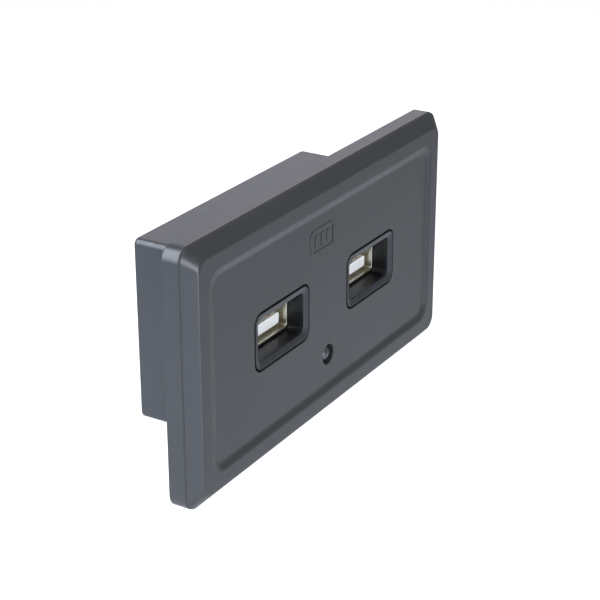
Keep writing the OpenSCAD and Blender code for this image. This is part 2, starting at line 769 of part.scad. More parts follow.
module housing_screw() {
    color("#8f9196") {
        drill(0, 0, screw_d, screw_seat_y - screw_len, screw_seat_y + eps);
        difference() {
            drill(0, 0, screw_head_d, screw_seat_y, screw_seat_y + screw_head_h);
            for (turn = [0, 90]) translate([0, screw_seat_y + screw_head_h, 0]) rotate([0, turn, 0])
                cube([2.4, 1.8, 0.5], center = true);
        }
    }
}

module housing_screws() {
    for (p = screw_places) translate([p[0], 0, p[1]]) housing_screw();
}

front_bezel();
left_port_liner();
right_port_liner();
left_port_shell();
right_port_shell();
left_port_insulator();
right_port_insulator();
left_port_contacts();
right_port_contacts();
port_board();
power_board();
board_link_pins();
inlet_connector();
inlet_pins();
indicator_lamp();
indicator_leads();
choke();
choke_core();
reservoir_capacitor();
capacitor_base();
converter_chip();
charge_chips();
ceramic_capacitors();
chip_resistors();
rectifier_diode();
input_fuse();
rear_housing();
housing_screws();
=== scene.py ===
import json
import math

import bmesh
import bpy
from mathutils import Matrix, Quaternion, Vector


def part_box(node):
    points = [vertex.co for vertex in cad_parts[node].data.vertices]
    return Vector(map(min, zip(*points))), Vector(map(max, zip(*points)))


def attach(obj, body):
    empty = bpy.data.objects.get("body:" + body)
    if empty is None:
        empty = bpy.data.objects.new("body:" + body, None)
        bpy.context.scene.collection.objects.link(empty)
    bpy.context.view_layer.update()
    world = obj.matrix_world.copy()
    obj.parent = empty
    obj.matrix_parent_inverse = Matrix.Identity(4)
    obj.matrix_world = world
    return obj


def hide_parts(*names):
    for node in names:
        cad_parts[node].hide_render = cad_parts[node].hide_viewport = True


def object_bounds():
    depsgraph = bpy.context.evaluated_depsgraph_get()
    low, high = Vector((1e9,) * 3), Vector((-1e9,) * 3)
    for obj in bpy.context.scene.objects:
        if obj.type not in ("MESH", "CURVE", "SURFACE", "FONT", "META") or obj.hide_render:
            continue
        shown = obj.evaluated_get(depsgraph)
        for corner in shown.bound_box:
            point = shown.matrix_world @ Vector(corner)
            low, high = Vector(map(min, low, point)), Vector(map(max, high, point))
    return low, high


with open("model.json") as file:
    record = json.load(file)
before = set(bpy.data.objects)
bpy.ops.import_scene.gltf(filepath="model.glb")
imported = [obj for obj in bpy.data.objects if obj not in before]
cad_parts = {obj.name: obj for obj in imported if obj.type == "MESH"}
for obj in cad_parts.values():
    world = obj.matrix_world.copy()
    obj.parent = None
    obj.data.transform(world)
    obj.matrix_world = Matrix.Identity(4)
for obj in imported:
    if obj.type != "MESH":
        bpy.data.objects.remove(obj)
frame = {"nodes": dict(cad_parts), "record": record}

CAD_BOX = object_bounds()
MM = 0.001

# Fascia, in millimetres, with its outer size taken from the frame
BEZEL_LO, BEZEL_HI = (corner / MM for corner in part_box("front_bezel"))
PLATE_W = BEZEL_HI.x - BEZEL_LO.x
PLATE_H = BEZEL_HI.z - BEZEL_LO.z
BORDER_Y = BEZEL_LO.y
PLATE_R = 2.4
BORDER_R = 2.0
SIDE_DEPTH = 3.1
BEVEL = 2.0
BORDER_W = 2.65
SLOPE_W = 1.0
PANEL_DROP = 0.5
PANEL_R = 3.0
PANEL_T = 2.65
RIM_WALL = 2.2
GROOVE_W = 0.25
GROOVE_D = 0.14
SLOPE_START = BEVEL + BORDER_W
PANEL_Y = BORDER_Y + PANEL_DROP
CAVITY_Y = PANEL_Y + PANEL_T
NOTCH_FIT = 0.1

# Ports, placed by the receptacle shells of the frame
SHELL_LO, SHELL_HI = (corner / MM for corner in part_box("right_port_shell"))
PORT_X = (SHELL_LO.x + SHELL_HI.x) / 2
PORT_Z = 0.1
PORT_W = 15.8
PORT_H = 9.65
PORT_R = 1.9
PORT_GAP = 0.35
RING_W = 1.06
RING_DROP = 0.3
THROAT_R = 0.9
LINER_LAP = 1.2
LINER_FLANGE_T = 1.2
SLEEVE_LEN = 3.8
SLEEVE_WALL = 1.2
SHELL_W = SHELL_HI.x - SHELL_LO.x
SHELL_H = 5.72
SHELL_R = 0.8
SHELL_DZ = -0.35
SHELL_FIT = 0.15
SHELL_Y = SHELL_LO.y

# Indicator lamp
LAMP_LO, LAMP_HI = (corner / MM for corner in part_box("indicator_lamp"))
LAMP_Z = (LAMP_LO.z + LAMP_HI.z) / 2
LAMP_D = 3.0
LAMP_HOLE_D = 3.4
LAMP_FLANGE_T = 1.0
LAMP_LIP = 0.4

# Pictogram on the panel
MARK_X = -1.6
MARK_Z = 10.6
MARK_W = 7.8
MARK_H = 4.2
MARK_NUB = 0.7
MARK_STROKE = 0.5
MARK_RISE = 0.09
MARK_EDGE = 0.02
MARK_CHAMFER = 0.03
MARK_R = 0.9
MARK_INNER_R = 0.45
MARK_BAR_R = 0.22
MARK_BAR_W = 0.95
MARK_BAR_PITCH = 1.75
MARK_NUB_H = 1.7

# Rear housing, as limits in X and Z and depths in Y
HOUSING_LO, HOUSING_HI = (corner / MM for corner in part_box("rear_housing"))
WALL = 1.6
BAY_WALL = 1.2
HOUSING_R = 0.9
HOUSING_SOFT = 0.5
INNER_R = 0.3
BOX_ROOM = 1.4
CORE_SIDE = 2.4
CORE_HEAD = 5.2
BAY_HALF_W = 4.6
BOX_X = (HOUSING_LO.x, 11.45)
BOX_Z = (PORT_Z - PORT_H / 2 - LINER_LAP - BOX_ROOM - WALL, HOUSING_HI.z)
BOX_DEPTH = 7.2
CORE_X = (-PORT_X - SHELL_W / 2 - CORE_SIDE, HOUSING_HI.x)
CORE_Z = (BOX_Z[0], PORT_Z + SHELL_DZ + SHELL_H / 2 + CORE_HEAD)
CORE_DEPTH = HOUSING_HI.y
BAY_X = (-BAY_HALF_W, BAY_HALF_W)
BAY_Z = (HOUSING_LO.z, BOX_Z[0] + (WALL + HOUSING_R))

# Bosses start a little inside the panel, and their bores stop short of it
BOSS_D = 5.0
BOSS_TOP = 4.0
BOSS_ROOT_Y = CAVITY_Y - 0.1
BORE_FLOOR_Y = BOSS_ROOT_Y + 0.3
PILOT_D = 2.2

# Screws of the housing, as X, Z and the depth of the housing at that place
BOSS_GAP = 0.1
SCREW_INSET = WALL + BOSS_D / 2 + BOSS_GAP
SCREW_PLACES = (
    (BOX_X[0] + SCREW_INSET, BOX_Z[1] - SCREW_INSET, BOX_DEPTH),
    (BOX_X[1] - SCREW_INSET, BOX_Z[1] - SCREW_INSET, BOX_DEPTH),
    (BOX_X[0] + SCREW_INSET, BOX_Z[0] + SCREW_INSET, BOX_DEPTH),
    (CORE_X[1] - SCREW_INSET, -1.0, CORE_DEPTH),
)
HEAD_SEAT_T = 1.4
SCREW_SEAT_Y = BOSS_TOP + HEAD_SEAT_T
SHANK_BORE_D = 2.7
HEAD_BORE_D = 5.0
HEAD_BORE_WALL = 1.0

# Fixing bosses for the screws that hold the socket in the dashboard
FIXING_X = 24.5
FIXING_Z = -14.4
FIXING_BOSS_D = 6.4
FIXING_BORE_D = 2.5
FIXING_TOP = 5.0

# Inlet opening in the housing's rear wall
INLET_LO, INLET_HI = (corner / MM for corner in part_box("inlet_connector"))
INLET_FIT = 0.15
INLET_H = 8.0

# Camera, found from the straight edges of the fascia in the photograph
CAMERA_AIM = Vector((-0.807, 0.313, -1.212))
CAMERA_AZIMUTH = -58.80
CAMERA_ELEVATION = 23.53
CAMERA_ROLL = -0.08
CAMERA_DISTANCE = 265.9
CAMERA_LENS = 100.74

# Studio: reach of the floor and its drop below the object in metres, its glow, and the world's light
FLOOR_REACH = 3.0
FLOOR_DROP = 0.3
FLOOR_GLOW = 0.74
WORLD_LEVEL = (0.16, 0.16, 0.16)

# Fineness of the meshes
CORNER_STEPS = 14
SOFT_STEPS = 5
HOLE_STEPS = 4
DOME_STEPS = 16
CIRCLE_STEPS = 48


def inset(limits, by):
    """Limits moved inward by a distance, or outward by a negative one."""
    return (limits[0] + by, limits[1] - by)


# Mesh helpers
def ring(w, h, r, y, cx=0.0, cz=0.0, steps=CORNER_STEPS):
    """Points of a round-cornered rectangle in a plane of constant y."""
    r = min(r, w / 2 - 1e-4, h / 2 - 1e-4)
    far_x = w / 2 - r
    far_z = h / 2 - r
    centres = ((far_x, far_z), (-far_x, far_z), (-far_x, -far_z), (far_x, -far_z))
    points = []
    for quarter, (x, z) in enumerate(centres):
        for step in range(steps + 1):
            turn = math.pi / 2 * (quarter + step / steps)
            points.append(Vector((cx + x + r * math.cos(turn), y, cz + z + r * math.sin(turn))))
    return points


def distance(change):
    """Length of a change between two sections, on the longer of their half width and half height."""
    return max(math.hypot(max(abs(change[0]), abs(change[1])) / 2, change[3]), 1e-6)


def soften(sections):
    """Rounds the corners of a run of sections. The last number of each is how far its rounding reaches."""
    out = []
    for i, (*values, reach) in enumerate(sections):
        here = Vector(values)
        if reach <= 0 or i in (0, len(sections) - 1):
            out.append(here)
            continue
        before = Vector(sections[i - 1][:-1]) - here
        after = Vector(sections[i + 1][:-1]) - here
        start = here + before * min(0.49, reach / distance(before))
        end = here + after * min(0.49, reach / distance(after))
        for step in range(SOFT_STEPS + 1):
            t = step / SOFT_STEPS
            out.append(start * (1 - t) ** 2 + here * 2 * t * (1 - t) + end * t**2)
    return out


def add_ring(bm, points):
    return [bm.verts.new(p * MM) for p in points]


def bridge(bm, a, b):
    for i in range(len(a)):
        j = (i + 1) % len(a)
        bm.faces.new((a[i], a[j], b[j], b[i]))


def loft(bm, sections, cx=0.0):
    """Skins round-cornered sections of (w, h, r, y, cz) and returns the first and last ring."""
    rings = [add_ring(bm, ring(s[0], s[1], s[2], s[3], cx, s[4])) for s in soften(sections)]
    for a, b in zip(rings, rings[1:]):
        bridge(bm, a, b)
    return rings[0], rings[-1]


def loop_edges(bm, verts):
    edges = []
    for i, v in enumerate(verts):
        w = verts[(i + 1) % len(verts)]
        edges.append(bm.edges.get((v, w)) or bm.edges.new((v, w)))
    return edges


def fill(bm, *loops):
    """Fills the flat region between an outer loop and any holes in it."""
    edges = [e for loop in loops for e in loop_edges(bm, loop)]
    bmesh.ops.triangle_fill(bm, use_beauty=True, use_dissolve=False, edges=edges)


def circle(radius, y, cx, cz):
    return [Vector((cx + radius * math.cos(t), y, cz + radius * math.sin(t)))
            for t in (2 * math.pi * i / CIRCLE_STEPS for i in range(CIRCLE_STEPS))]


def tube(bm, profile, cx, cz):
    """Turns a profile of (radius, y) about an axis along Y and returns its rings."""
    rings = [add_ring(bm, circle(radius, y, cx, cz)) for radius, y in profile]
    for a, b in zip(rings, rings[1:]):
        bridge(bm, a, b)
    return rings


def finish_mesh(bm, name, material, sharp=32.0):
    """Makes an object of the mesh, shaded smooth except across sharp edges."""
    bmesh.ops.remove_doubles(bm, verts=bm.verts, dist=1e-7)
    bmesh.ops.recalc_face_normals(bm, faces=bm.faces)
    for face in bm.faces:
        face.smooth = True
    for edge in bm.edges:
        if len(edge.link_faces) == 2 and edge.calc_face_angle(0) > math.radians(sharp):
            edge.smooth = False
    mesh = bpy.data.meshes.new(name)
    bm.to_mesh(mesh)
    bm.free()
    obj = bpy.data.objects.new(name, mesh)
    bpy.context.scene.collection.objects.link(obj)
    mesh.materials.append(MATERIALS[material])
    modifier = obj.modifiers.new("even_shading", "WEIGHTED_NORMAL")
    modifier.keep_sharp = True
    return obj


# Patterns of the materials, in cells per metre
CLOUD_SCALE = 60.0
MOTTLE_SCALE = 700.0
GRAIN_SCALE = 2400.0
DRAWN_SCALE_ALONG = 300.0
DRAWN_SCALE_ACROSS = 9000.0
RESIN_SCALE = 900.0
MASK_SCALE = 420.0
WEAVE_SCALE = 4000.0

# Range that a noise pattern mostly fills
NOISE_LOW = 0.3
NOISE_HIGH = 0.7

# Depth over which painted shade darkens a throat's colour to its inner tone, in millimetres
THROAT_SHADE = 0.9


# Material helpers
def new_material(name):
    material = bpy.data.materials.new(name)
    material.use_nodes = True
    tree = material.node_tree
    return material, tree.nodes, tree.links, tree.nodes["Principled BSDF"]


def noise(nodes, links, scale, detail):
    coords = nodes.new("ShaderNodeTexCoord")
    node = nodes.new("ShaderNodeTexNoise")
    node.inputs["Scale"].default_value = scale
    node.inputs["Detail"].default_value = detail
    links.new(coords.outputs["Object"], node.inputs["Vector"])
    return node


def ramp(nodes, links, source, low, high):
    node = nodes.new("ShaderNodeValToRGB")
    node.color_ramp.elements[0].position = NOISE_LOW
    node.color_ramp.elements[0].color = (*low, 1)
    node.color_ramp.elements[1].position = NOISE_HIGH
    node.color_ramp.elements[1].color = (*high, 1)
    links.new(source, node.inputs["Fac"])
    return node


def value_range(nodes, links, source, low, high):
    node = nodes.new("ShaderNodeMapRange")
    node.inputs["From Min"].default_value = NOISE_LOW
    node.inputs["From Max"].default_value = NOISE_HIGH
    node.inputs["To Min"].default_value = low
    node.inputs["To Max"].default_value = high
    links.new(source, node.inputs["Value"])
    return node


def bump(nodes, links, shader, height, strength, depth):
    node = nodes.new("ShaderNodeBump")
    node.inputs["Strength"].default_value = strength
    node.inputs["Distance"].default_value = depth
    links.new(height, node.inputs["Height"])
    links.new(node.outputs["Normal"], shader.inputs["Normal"])


def tinted(colour, factor):
    return tuple(channel * factor for channel in colour)


def moulded_plastic(name, colour, rough, grain_depth=3e-6, spread=0.05, painted_throat_shade=1.0):
    """Satin moulded plastic with a fine grain and a faint cloudiness. Its colour is darkened with depth in a
    port throat by a factor, as painted shade.
    """
    material, nodes, links, shader = new_material(name)
    cloud = noise(nodes, links, CLOUD_SCALE, 4.0)
    tone = ramp(nodes, links, cloud.outputs["Fac"], tinted(colour, 1 - spread), tinted(colour, 1 + spread))
    coords = nodes.new("ShaderNodeTexCoord")
    split = nodes.new("ShaderNodeSeparateXYZ")
    links.new(coords.outputs["Object"], split.inputs["Vector"])
    # Painted shade: the colour is scaled down with depth inside a port throat
    depth = nodes.new("ShaderNodeMapRange")
    depth.inputs["From Min"].default_value = (PANEL_Y + RING_DROP) * MM
    depth.inputs["From Max"].default_value = (PANEL_Y + RING_DROP + THROAT_SHADE) * MM
    depth.inputs["To Min"].default_value = 1.0
    depth.inputs["To Max"].default_value = painted_throat_shade
    links.new(split.outputs["Y"], depth.inputs["Value"])
    shade = nodes.new("ShaderNodeVectorMath")
    shade.operation = "SCALE"
    links.new(tone.outputs["Color"], shade.inputs["Vector"])
    links.new(depth.outputs["Result"], shade.inputs["Scale"])
    links.new(shade.outputs["Vector"], shader.inputs["Base Color"])
    mottling = noise(nodes, links, MOTTLE_SCALE, 3.0)
    gloss = value_range(nodes, links, mottling.outputs["Fac"], rough[0], rough[1])
    links.new(gloss.outputs["Result"], shader.inputs["Roughness"])
    texture = noise(nodes, links, GRAIN_SCALE, 2.0)
    bump(nodes, links, shader, texture.outputs["Fac"], 0.15, grain_depth)
    return material


def sheet_metal(name, colour, rough, along="Y"):
    """Plated metal with fine drawing marks along one axis."""
    material, nodes, links, shader = new_material(name)
    coords = nodes.new("ShaderNodeTexCoord")
    stretch = nodes.new("ShaderNodeMapping")
    marks = [DRAWN_SCALE_ALONG if axis == along else DRAWN_SCALE_ACROSS for axis in "XYZ"]
    stretch.inputs["Scale"].default_value = marks
    links.new(coords.outputs["Object"], stretch.inputs["Vector"])
    lines = nodes.new("ShaderNodeTexNoise")
    lines.inputs["Scale"].default_value = 1.0
    lines.inputs["Detail"].default_value = 2.0
    links.new(stretch.outputs["Vector"], lines.inputs["Vector"])
    tone = ramp(nodes, links, lines.outputs["Fac"], tinted(colour, 0.9), tinted(colour, 1.06))
    links.new(tone.outputs["Color"], shader.inputs["Base Color"])
    gloss = value_range(nodes, links, lines.outputs["Fac"], rough[0], rough[1])
    links.new(gloss.outputs["Result"], shader.inputs["Roughness"])
    bump(nodes, links, shader, lines.outputs["Fac"], 0.08, 2e-6)
    shader.inputs["Metallic"].default_value = 1.0
    return material


def board_laminate(name):
    """Green solder mask in slightly varied patches, over a faint glass weave."""
    material, nodes, links, shader = new_material(name)
    cells = nodes.new("ShaderNodeTexBrick")
    coords = nodes.new("ShaderNodeTexCoord")
    links.new(coords.outputs["Object"], cells.inputs["Vector"])
    cells.inputs["Scale"].default_value = MASK_SCALE
    cells.inputs["Color1"].default_value = (0.018, 0.13, 0.05, 1)
    cells.inputs["Color2"].default_value = (0.024, 0.16, 0.065, 1)
    cells.inputs["Mortar"].default_value = (0.012, 0.085, 0.035, 1)
    links.new(cells.outputs["Color"], shader.inputs["Base Color"])
    weave = noise(nodes, links, WEAVE_SCALE, 2.0)
    bump(nodes, links, shader, weave.outputs["Fac"], 0.15, 1e-5)
    shader.inputs["Roughness"].default_value = 0.32
    shader.inputs["Coat Weight"].default_value = 0.4
    return material


def lamp_resin(name):
    """Dark grey resin of an unlit indicator lamp, with a clear coat."""
    material, nodes, links, shader = new_material(name)
    cloud = noise(nodes, links, RESIN_SCALE, 2.0)
    tone = ramp(nodes, links, cloud.outputs["Fac"], (0.05, 0.051, 0.055), (0.065, 0.066, 0.07))
    links.new(tone.outputs["Color"], shader.inputs["Base Color"])
    shader.inputs["Roughness"].default_value = 0.3
    shader.inputs["Coat Weight"].default_value = 0.3
    shader.inputs["Coat Roughness"].default_value = 0.12
    return material


PLASTICS = {
    "fascia_plastic": dict(colour=(0.043, 0.0435, 0.047), rough=(0.285, 0.32)),
    # Liner colour darkened inside the throat as painted shade
    "liner_plastic": dict(colour=(0.03, 0.031, 0.036), rough=(0.285, 0.33), painted_throat_shade=0.25),
    "housing_plastic": dict(colour=(0.048, 0.049, 0.054), rough=(0.29, 0.35)),
    "white_plastic": dict(colour=(0.95, 0.93, 0.9), rough=(0.3, 0.4), spread=0.02),
    "inlet_plastic": dict(colour=(0.7, 0.66, 0.55), rough=(0.38, 0.46), spread=0.03),
    "ferrite": dict(colour=(0.05, 0.05, 0.055), rough=(0.6, 0.75), grain_depth=1.5e-5),
    "chip_resin": dict(colour=(0.02, 0.02, 0.023), rough=(0.5, 0.6)),
    "ceramic": dict(colour=(0.4, 0.26, 0.13), rough=(0.35, 0.45)),
    "fuse_body": dict(colour=(0.05, 0.18, 0.09), rough=(0.4, 0.5)),
}
METALS = {
    "shell_metal": dict(colour=(0.72, 0.68, 0.56), rough=(0.3, 0.36)),
    "contact_metal": dict(colour=(0.85, 0.62, 0.27), rough=(0.16, 0.26)),
    "tinned_metal": dict(colour=(0.66, 0.66, 0.68), rough=(0.24, 0.36), along="Z"),
    "can_aluminium": dict(colour=(0.78, 0.79, 0.8), rough=(0.3, 0.4)),
    "screw_steel": dict(colour=(0.55, 0.56, 0.58), rough=(0.28, 0.4)),
}
MATERIALS = {name: moulded_plastic(name, **look) for name, look in PLASTICS.items()}
MATERIALS.update({name: sheet_metal(name, **look) for name, look in METALS.items()})
MATERIALS["board_laminate"] = board_laminate("board_laminate")
MATERIALS["lamp_resin"] = lamp_resin("lamp_resin")


def place(obj, material, *nodes):
    """Seats a piece on the one rigid body, in place of the nodes that it stands for."""
    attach(obj, "root")
    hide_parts(*nodes)


# Fascia
def corner_radius(inward):
    """Corner radius of the fascia's contour line at a distance inward from the outline."""
    if inward <= BEVEL:
        share = inward / BEVEL
        return PLATE_R * (1 - share) + BORDER_R * share
    if inward < SLOPE_START:
        share = (inward - BEVEL) / BORDER_W
        return BORDER_R * (1 - share) + PANEL_R * share
    return PANEL_R - min(inward - SLOPE_START, SLOPE_W)


def fascia_sections():
    """Sections of the fascia's skin from its rear rim, over the bevel and the border, to the sunk panel.

    The contour gives the distance inward from the outline, y and the reach of the rounding.
    """
    contour = (
        (0.5, 0.0, 0.0),
        (0.0, 0.0, 0.16),
        (0.0, -SIDE_DEPTH + GROOVE_W, 0.1),
        (GROOVE_D, -SIDE_DEPTH + 0.65 * GROOVE_W, 0.05),
        (GROOVE_D, -SIDE_DEPTH + 0.35 * GROOVE_W, 0.05),
        (0.03, -SIDE_DEPTH, 0.1),
        (BEVEL, BORDER_Y, 0.28),
        (SLOPE_START, BORDER_Y, 0.4),
        (SLOPE_START + SLOPE_W, PANEL_Y, 0.4),
        (SLOPE_START + SLOPE_W + 1.2, PANEL_Y, 0.0),
    )
    return [(PLATE_W - 2 * d, PLATE_H - 2 * d, corner_radius(d), y, 0.0, soft) for d, y, soft in contour]


def cavity_outline(y):
    """Inside of the fascia's rear rim, with the notch for the upper box, going round against the clock."""
    half_w = PLATE_W / 2 - RIM_WALL
    half_h = PLATE_H / 2 - RIM_WALL
    r = PLATE_R - RIM_WALL
    steps = 6
    left, right = inset(BOX_X, -NOTCH_FIT)
    notch_z = BOX_Z[1] + NOTCH_FIT
    points = ring(2 * half_w, 2 * half_h, r, y, steps=steps)
    notch_corners = ((right, half_h), (right, notch_z), (left, notch_z), (left, half_h))
    notch = [Vector((x, y, z)) for x, z in notch_corners]
    return points[:steps + 1] + notch + points[steps + 1:]


def hole_rings(bm, outline, y_front, y_back, soft=0.12):
    """Rings of a hole through the panel, with its front edge rounded. outline(grow, y) gives its points."""
    rings = []
    for step in range(HOLE_STEPS + 1):
        turn = math.pi / 2 * step / HOLE_STEPS
        grow = soft * (1 - math.sin(turn))
        rings.append(add_ring(bm, outline(grow, y_front + soft * (1 - math.cos(turn)))))
    rings.append(add_ring(bm, outline(0.0, y_back)))
    for a, b in zip(rings, rings[1:]):
        bridge(bm, a, b)
    return rings[0], rings[-1]


def port_outline(side):
    return lambda grow, y: ring(PORT_W + 2 * grow, PORT_H + 2 * grow, PORT_R + grow, y, side * PORT_X, PORT_Z)


def lamp_outline(grow, y):
    return circle(LAMP_HOLE_D / 2 + grow, y, 0.0, LAMP_Z)


def boss(bm, x, z, outer, bore, top):
    """Round boss with a blind bore, both given by their diameters, with its edges chamfered."""
    soft = 0.15
    tube(bm, [(outer / 2, BOSS_ROOT_Y), (outer / 2, top - soft), (outer / 2 - soft, top),
              (bore / 2 + soft, top), (bore / 2, top - soft), (bore / 2, BORE_FLOOR_Y),
              (0.01, BORE_FLOOR_Y)], x, z)


def build_fascia():
    bm = bmesh.new()
    rim, panel = loft(bm, fascia_sections())
    holes = [hole_rings(bm, port_outline(side), PANEL_Y, CAVITY_Y) for side in (-1, 1)]
    holes.append(hole_rings(bm, lamp_outline, PANEL_Y, CAVITY_Y))
    fill(bm, panel, *(front for front, back in holes))
    cavity_rim = add_ring(bm, cavity_outline(0.0))
    cavity_floor = add_ring(bm, cavity_outline(CAVITY_Y))
    bridge(bm, cavity_rim, cavity_floor)
    fill(bm, rim, cavity_rim)
    fill(bm, cavity_floor, *(back for front, back in holes))
    for side in (-1, 1):
        boss(bm, side * FIXING_X, FIXING_Z, FIXING_BOSS_D, FIXING_BORE_D, FIXING_TOP)
    for x, z, depth in SCREW_PLACES:
        boss(bm, x, z, BOSS_D, PILOT_D, BOSS_TOP)
    place(finish_mesh(bm, "fascia", "fascia_plastic"), "fascia_plastic", "front_bezel")


# Pictogram of a battery, in low relief on the panel
def at_depth(points, y):
    return [Vector((p.x, y, p.z)) for p in points]


def raised_outline(bm, points, y):
    """Raises a closed outline from the panel to y with a small chamfer."""
    middle = sum(points, Vector()) / len(points)
    foot = add_ring(bm, at_depth(points, PANEL_Y + MARK_EDGE))
    shoulder = add_ring(bm, at_depth(points, y + MARK_EDGE))
    crown = add_ring(bm, [p + (middle - p).normalized() * MARK_CHAMFER for p in at_depth(points, y)])
    bridge(bm, foot, shoulder)
    bridge(bm, shoulder, crown)
    return crown


def build_pictogram():
    bm = bmesh.new()
    y = PANEL_Y - MARK_RISE
    body_w = MARK_W - MARK_NUB
    body_x = MARK_X - MARK_NUB / 2
    steps = 6
    outer = raised_outline(bm, ring(body_w, MARK_H, MARK_R, y, body_x, MARK_Z, steps), y)
    inner_w = body_w - 2 * MARK_STROKE
    inner_h = MARK_H - 2 * MARK_STROKE
    inner_ring = ring(inner_w, inner_h, MARK_INNER_R, y, body_x, MARK_Z, steps)
    inner = add_ring(bm, inner_ring)
    inner_foot = add_ring(bm, at_depth(inner_ring, PANEL_Y + MARK_EDGE))
    bridge(bm, inner, inner_foot)
    fill(bm, outer, inner)
    nub_x = body_x + body_w / 2 + MARK_NUB / 2
    bars = [(nub_x, MARK_NUB, MARK_NUB_H)]
    bars += [(body_x + i * MARK_BAR_PITCH, MARK_BAR_W, MARK_H - 4 * MARK_STROKE) for i in (-1, 0, 1)]
    for x, w, h in bars:
        bm.faces.new(raised_outline(bm, ring(w, h, MARK_BAR_R, y, x, MARK_Z, steps=4), y))
    place(finish_mesh(bm, "battery_mark", "fascia_plastic"), "fascia_plastic", "front_bezel")


# Port liners
def build_liner(side):
    """Port liner on one side, as one closed skin that runs from its seat on the receptacle and back to it."""
    bm = bmesh.new()
    w = PORT_W - 2 * PORT_GAP
    h = PORT_H - 2 * PORT_GAP
    r = PORT_R - PORT_GAP
    land = 0.15
    throat_y = PANEL_Y + RING_DROP
    sleeve_end = CAVITY_Y + SLEEVE_LEN
    flange_end = CAVITY_Y + LINER_FLANGE_T
    seat_y = SHELL_Y - 0.1
    seat = (SHELL_W + 2 * SHELL_FIT, SHELL_H + 2 * SHELL_FIT, SHELL_R + SHELL_FIT)
    sleeve = (seat[0] + 2 * SLEEVE_WALL, seat[1] + 2 * SLEEVE_WALL, seat[2] + SLEEVE_WALL)
    lap = LINER_LAP + PORT_GAP
    flange = (w + 2 * lap, h + 2 * lap, r + lap)
    sections = [
        (*seat, seat_y, SHELL_DZ, 0.0),
        (*seat, sleeve_end, SHELL_DZ, 0.1),
        (*sleeve, sleeve_end, SHELL_DZ, 0.15),
        (*sleeve, flange_end, SHELL_DZ, 0.1),
        (*flange, flange_end, 0.0, 0.15),
        (*flange, CAVITY_Y, 0.0, 0.1),
        (w, h, r, CAVITY_Y, 0.0, 0.05),
        (w, h, r, PANEL_Y, 0.0, 0.12),
        (w - 2 * land, h - 2 * land, r - land, PANEL_Y, 0.0, 0.06),
        (w - 2 * RING_W, h - 2 * RING_W, THROAT_R, throat_y, 0.0, 0.14),
        (w - 2 * RING_W, h - 2 * RING_W, THROAT_R, seat_y, 0.0, 0.0),
    ]
    placed = [(*size, y, dz + PORT_Z, soft) for *size, y, dz, soft in sections]
    first, last = loft(bm, placed, side * PORT_X)
    bridge(bm, last, first)
    name = "left" if side < 0 else "right"
    place(finish_mesh(bm, name + "_liner", "liner_plastic"), "liner_plastic", name + "_port_liner")


# Rear housing
def block(x, z, y0, y1, r, soft=0.0):
    """Mesh of a closed block between two depths, with its rear edges rounded.

    The last ring lies within the rear face, so that the rounding has a flat to run out on.
    """
    bm = bmesh.new()
    w = x[1] - x[0]
    h = z[1] - z[0]
    cz = (z[0] + z[1]) / 2
    less = 1.6
    sections = [(w, h, r, y0, cz, 0.0), (w, h, r, y1, cz, soft), (w - less, h - less, r, y1, cz, 0.0)]
    for verts in loft(bm, sections, (x[0] + x[1]) / 2):
        bm.faces.new(verts)
    return bm


def turned(profile, x, z):
    """Mesh of a closed solid turned about an axis along Y."""
    bm = bmesh.new()
    rings = tube(bm, profile, x, z)
    for verts in (rings[0], rings[-1]):
        bm.faces.new(verts)
    return bm


def combine(steps):
    """Adds and cuts closed meshes one after another and returns the result as a mesh."""
    helpers = []
    for kind, bm in steps:
        bmesh.ops.recalc_face_normals(bm, faces=bm.faces)
        mesh = bpy.data.meshes.new("helper")
        bm.to_mesh(mesh)
        bm.free()
        obj = bpy.data.objects.new("helper", mesh)
        bpy.context.scene.collection.objects.link(obj)
        helpers.append(obj)
        if len(helpers) > 1:
            modifier = helpers[0].modifiers.new(kind, "BOOLEAN")
            modifier.operation = kind
            modifier.solver = "EXACT"
            modifier.object = obj
    depsgraph = bpy.context.evaluated_depsgraph_get()
    result = bmesh.new()
    result.from_mesh(helpers[0].evaluated_get(depsgraph).to_mesh())
    for obj in helpers:
        mesh = obj.data
        bpy.data.objects.remove(obj)
        bpy.data.meshes.remove(mesh)
    return result


def counterbore(x, z, depth):
    """Cutter for a screw's head and shank, with a rounded edge at the housing's rear face."""
    r = HEAD_BORE_D / 2
    shank_r = SHANK_BORE_D / 2
    return turned([(r + 0.15, depth + 0.5), (r + 0.15, depth), (r + 0.04, depth - 0.04), (r, depth - 0.15),
                   (r, SCREW_SEAT_Y), (shank_r, SCREW_SEAT_Y), (shank_r, BOSS_TOP - 1)], x, z)


def build_housing():
    front = CAVITY_Y - 1
    boxes = (
        (BOX_X, BOX_Z, BOX_DEPTH, WALL),
        (CORE_X, CORE_Z, CORE_DEPTH, WALL),
        (BAY_X, BAY_Z, BOX_DEPTH, BAY_WALL),
    )
    steps = [("UNION", block(x, z, CAVITY_Y, depth, HOUSING_R, HOUSING_SOFT)) for x, z, depth, wall in boxes]
    for x, z, depth, wall in boxes:
        steps.append(("DIFFERENCE", block(inset(x, wall), inset(z, wall), front, depth - wall, INNER_R)))
    boss_r = HEAD_BORE_D / 2 + HEAD_BORE_WALL
    for x, z, depth in SCREW_PLACES:
        steps.append(("UNION", turned([(boss_r, BOSS_TOP), (boss_r, depth - WALL / 2)], x, z)))
        steps.append(("DIFFERENCE", counterbore(x, z, depth)))
    inlet_x = inset((INLET_LO.x, INLET_HI.x), -INLET_FIT)
    inlet_z = inset((INLET_HI.z - INLET_H, INLET_HI.z), -INLET_FIT)
    steps.append(("DIFFERENCE", block(inlet_x, inlet_z, CORE_DEPTH - WALL - 1, CORE_DEPTH + 1, INNER_R)))
    obj = finish_mesh(combine(steps), "housing", "housing_plastic", sharp=28.0)
    place(obj, "housing_plastic", "rear_housing")


